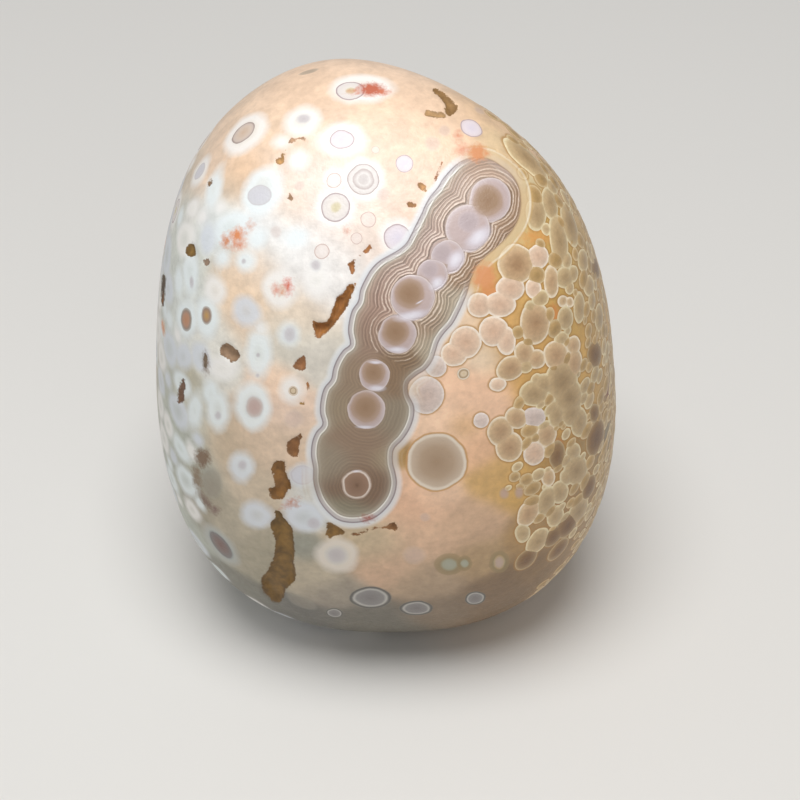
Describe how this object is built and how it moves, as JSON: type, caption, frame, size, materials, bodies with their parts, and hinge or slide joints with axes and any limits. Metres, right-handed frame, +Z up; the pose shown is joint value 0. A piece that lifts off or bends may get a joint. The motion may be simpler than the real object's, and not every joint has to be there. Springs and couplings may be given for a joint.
{
  "type": "orbicular agate pebble",
  "caption": "Egg-shaped, wind-polished orbicular agate pebble that stands on a small flat spot at its blunt end; a display or collector's stone.",
  "frame": {"origin": "on the surface that the stone stands on, under the middle of its bounding box", "axes": "+Z up with the stone standing on its flat spot, -Y towards the face with the banded agate chain, +X to the right seen from -Y"},
  "size_m": [0.0462, 0.039, 0.062],
  "materials": {
    "polished_agate": "wind-polished chalcedony, satin to semi-gloss, with orbs, fine banding and small recessed pits"
  },
  "bodies": {
    "root": {"agate": "polished_agate"}
  },
  "joints": []
}
